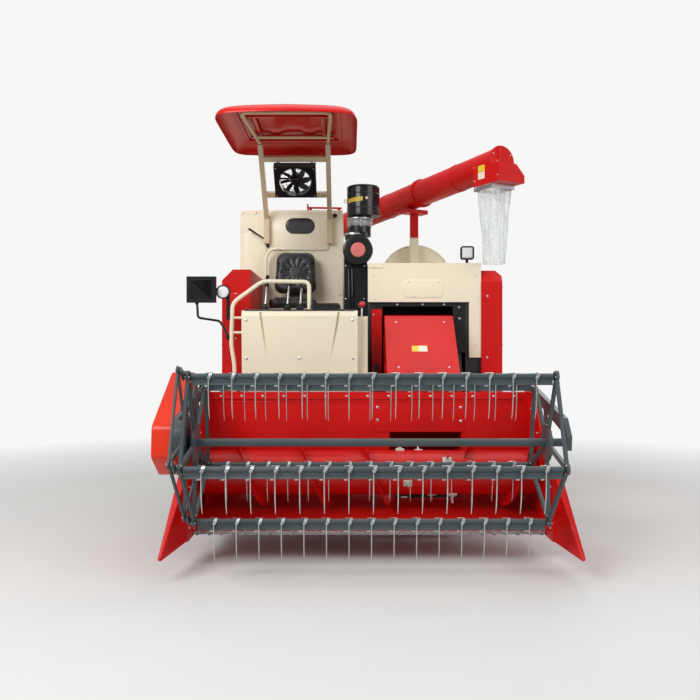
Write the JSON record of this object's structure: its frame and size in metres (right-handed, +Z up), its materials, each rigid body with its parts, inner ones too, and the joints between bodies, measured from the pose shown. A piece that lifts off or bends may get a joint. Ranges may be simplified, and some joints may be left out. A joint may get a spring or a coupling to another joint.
{
  "type": "tracked rice combine harvester",
  "caption": "Tracked rice combine with tined reel, cutting header, feeder house, thresher, grain tank, open operator's seat under a canopy and unloading tube.",
  "frame": {"origin": "middle of the whole machine's box, on the ground under its tracks", "axes": "+Z up, -Y the way the machine drives, +X to its own left, the right side of the picture"},
  "size_m": [2.5937, 5.2762, 3.11],
  "materials": {
    "red_paint": "glossy red paint",
    "orange_paint": "glossy orange-red paint",
    "cream_paint": "satin ivory paint",
    "tan_paint": "satin sand-coloured paint",
    "slate_paint": "satin slate-blue paint",
    "frame_paint": "satin dark grey paint",
    "track_rubber": "moulded black rubber",
    "black_gloss": "glossy black",
    "black_paint": "black paint",
    "bright_steel": "bright plated steel",
    "knife_steel": "ground steel",
    "cast_metal": "painted casting",
    "seat_vinyl": "black ribbed vinyl",
    "clear_vinyl": "clear flexible vinyl"
  },
  "bodies": {
    "root": {"chassis_frame": "frame_paint", "gearbox": "frame_paint", "track_left": "track_rubber", "track_right": "track_rubber", "track_frame_left": "frame_paint", "track_frame_right": "frame_paint", "engine_block": "cast_metal", "engine_housing": "red_paint", "platform": "frame_paint", "console": "cream_paint", "handrail": "cream_paint", "levers": "bright_steel", "mirror": "black_gloss", "seat_base": "cream_paint", "seat_cushion": "seat_vinyl", "seat_back": "seat_vinyl", "canopy": "red_paint", "canopy_frame": "tan_paint", "fan_frame": "black_gloss", "grain_tank": "cream_paint", "air_intake": "black_gloss", "thresher_body": "frame_paint", "drum_cover": "cream_paint", "front_panel": "cream_paint", "belt_cover": "red_paint", "straw_hood": "red_paint", "work_lamps": "black_gloss", "unloader_post": "red_paint", "unloader_elevator": "red_paint"},
    "header": {"feeder_house": "red_paint", "header_frame": "red_paint", "header_ends": "red_paint", "knife_bar": "knife_steel", "drive_cover": "orange_paint"},
    "auger": {"header_auger": "red_paint"},
    "reel_frame": {"reel_arms": "slate_paint"},
    "reel": {"reel_rotor": "slate_paint"},
    "ring": {"eccentric_ring": "slate_paint"},
    "header_barrel": {"header_barrel": "black_paint"},
    "header_rod": {"header_rod": "bright_steel"},
    "reel_barrels": {"reel_barrels": "black_paint"},
    "reel_rods": {"reel_rods": "bright_steel"},
    "unloader_base": {"unloader_elbow": "red_paint"},
    "unloader": {"unloader_tube": "red_paint", "discharge_sleeve": "clear_vinyl"},
    "unloader_barrel": {"unloader_barrel": "black_paint"},
    "unloader_rod": {"unloader_rod": "bright_steel"},
    "fan": {"fan_rotor": "black_gloss"},
    "side_door": {"side_door": "red_paint"},
    "screen_door": {"screen_door": "red_paint"},
    "bar_1": {"tine_bar_1": "slate_paint"},
    "bar_2": {"tine_bar_2": "slate_paint"},
    "bar_3": {"tine_bar_3": "slate_paint"},
    "bar_4": {"tine_bar_4": "slate_paint"},
    "bar_5": {"tine_bar_5": "slate_paint"}
  },
  "joints": [
    {"name": "header_lift", "type": "hinge", "parent": "root", "child": "header", "pos_m": [0.045, -0.3935, 1.42], "axis": [-1, 0, 0], "range_deg": [-1, 20]},
    {"name": "auger_spin", "type": "hinge", "parent": "header", "child": "auger", "pos_m": [0.045, -1.3935, 0.525], "axis": [1, 0, 0], "continuous": true},
    {"name": "reel_lift", "type": "hinge", "parent": "header", "child": "reel_frame", "pos_m": [0.045, -1.1135, 1.105], "axis": [-1, 0, 0], "range_deg": [0, 25]},
    {"name": "reel_spin", "type": "hinge", "parent": "reel_frame", "child": "reel", "pos_m": [0.045, -2.1135, 0.811], "axis": [1, 0, 0], "continuous": true},
    {"name": "bar_1_pivot", "type": "hinge", "parent": "reel", "child": "bar_1", "pos_m": [0.045, -1.80265, 1.15143], "axis": [1, 0, 0], "continuous": true},
    {"name": "bar_2_pivot", "type": "hinge", "parent": "reel", "child": "bar_2", "pos_m": [0.045, -2.34121, 1.21184], "axis": [1, 0, 0], "continuous": true},
    {"name": "bar_3_pivot", "type": "hinge", "parent": "reel", "child": "bar_3", "pos_m": [0.045, -2.56508, 0.7183], "axis": [1, 0, 0], "continuous": true},
    {"name": "bar_4_pivot", "type": "hinge", "parent": "reel", "child": "bar_4", "pos_m": [0.045, -2.16489, 0.35287], "axis": [1, 0, 0], "continuous": true},
    {"name": "bar_5_pivot", "type": "hinge", "parent": "reel", "child": "bar_5", "pos_m": [0.045, -1.69367, 0.62056], "axis": [1, 0, 0], "continuous": true},
    {"name": "ring_spin", "type": "hinge", "parent": "reel_frame", "child": "ring", "pos_m": [-1.042, -2.17412, 0.846], "axis": [1, 0, 0], "continuous": true},
    {"name": "header_barrel_pivot", "type": "hinge", "parent": "root", "child": "header_barrel", "pos_m": [0.315, -0.1735, 0.29], "axis": [-1, 0, 0], "range_deg": [-1.2, 14.44]},
    {"name": "header_rod_stroke", "type": "slide", "parent": "header_barrel", "child": "header_rod", "axis": [0, -0.9994, -0.0345], "range_m": [-0.02039, 0.38878]},
    {"name": "reel_barrel_pivot", "type": "hinge", "parent": "header", "child": "reel_barrels", "pos_m": [0.045, -1.4735, 0.47], "axis": [-1, 0, 0], "range_deg": [-0.5, 3.9]},
    {"name": "reel_rod_stroke", "type": "slide", "parent": "reel_barrels", "child": "reel_rods", "axis": [0, -0.3523, 0.9359], "range_m": [-0.001, 0.24461]},
    {"name": "unloader_swing", "type": "hinge", "parent": "root", "child": "unloader_base", "pos_m": [-0.505, 2.1965, 2.63], "axis": [0, 0, 1], "range_deg": [0, 200]},
    {"name": "unloader_lift", "type": "hinge", "parent": "unloader_base", "child": "unloader", "pos_m": [-0.505, 2.1965, 2.63], "axis": [-0.8751, -0.4839, 0], "range_deg": [0, 20]},
    {"name": "unloader_barrel_pivot", "type": "hinge", "parent": "unloader_base", "child": "unloader_barrel", "pos_m": [-0.53887, 2.25776, 2.875], "axis": [-0.8751, -0.4839, 0], "range_deg": [-0.5, 18.59]},
    {"name": "unloader_rod_stroke", "type": "slide", "parent": "unloader_barrel", "child": "unloader_rod", "axis": [0.4818, -0.8715, -0.0915], "range_m": [-0.0869, 0.001]},
    {"name": "fan_spin", "type": "hinge", "parent": "root", "child": "fan", "pos_m": [-0.539, -0.15254, 2.77563], "axis": [0, 0.7078, 0.7064], "continuous": true},
    {"name": "side_door_hinge", "type": "hinge", "parent": "root", "child": "side_door", "pos_m": [1.147, 1.4265, 1.4], "axis": [0, 0, 1], "range_deg": [0, 100]},
    {"name": "screen_door_hinge", "type": "hinge", "parent": "root", "child": "screen_door", "pos_m": [-1.105, 0.1765, 1.4], "axis": [0, 0, -1], "range_deg": [0, 100]}
  ],
  "couplings": [
    {"joint": "bar_1_pivot", "follows": "reel_spin", "ratio": -1},
    {"joint": "bar_2_pivot", "follows": "reel_spin", "ratio": -1},
    {"joint": "bar_3_pivot", "follows": "reel_spin", "ratio": -1},
    {"joint": "bar_4_pivot", "follows": "reel_spin", "ratio": -1},
    {"joint": "bar_5_pivot", "follows": "reel_spin", "ratio": -1},
    {"joint": "ring_spin", "follows": "reel_spin", "ratio": 1},
    {"joint": "header_barrel_pivot", "follows": "header_lift", "ratio": 0.69719},
    {"joint": "header_rod_stroke", "follows": "header_lift", "m_per_rad": 1.1109},
    {"joint": "reel_barrel_pivot", "follows": "reel_lift", "ratio": 0.13618},
    {"joint": "reel_rod_stroke", "follows": "reel_lift", "m_per_rad": 0.55831},
    {"joint": "unloader_barrel_pivot", "follows": "unloader_lift", "ratio": 0.90431},
    {"joint": "unloader_rod_stroke", "follows": "unloader_lift", "m_per_rad": -0.24609}
  ]
}
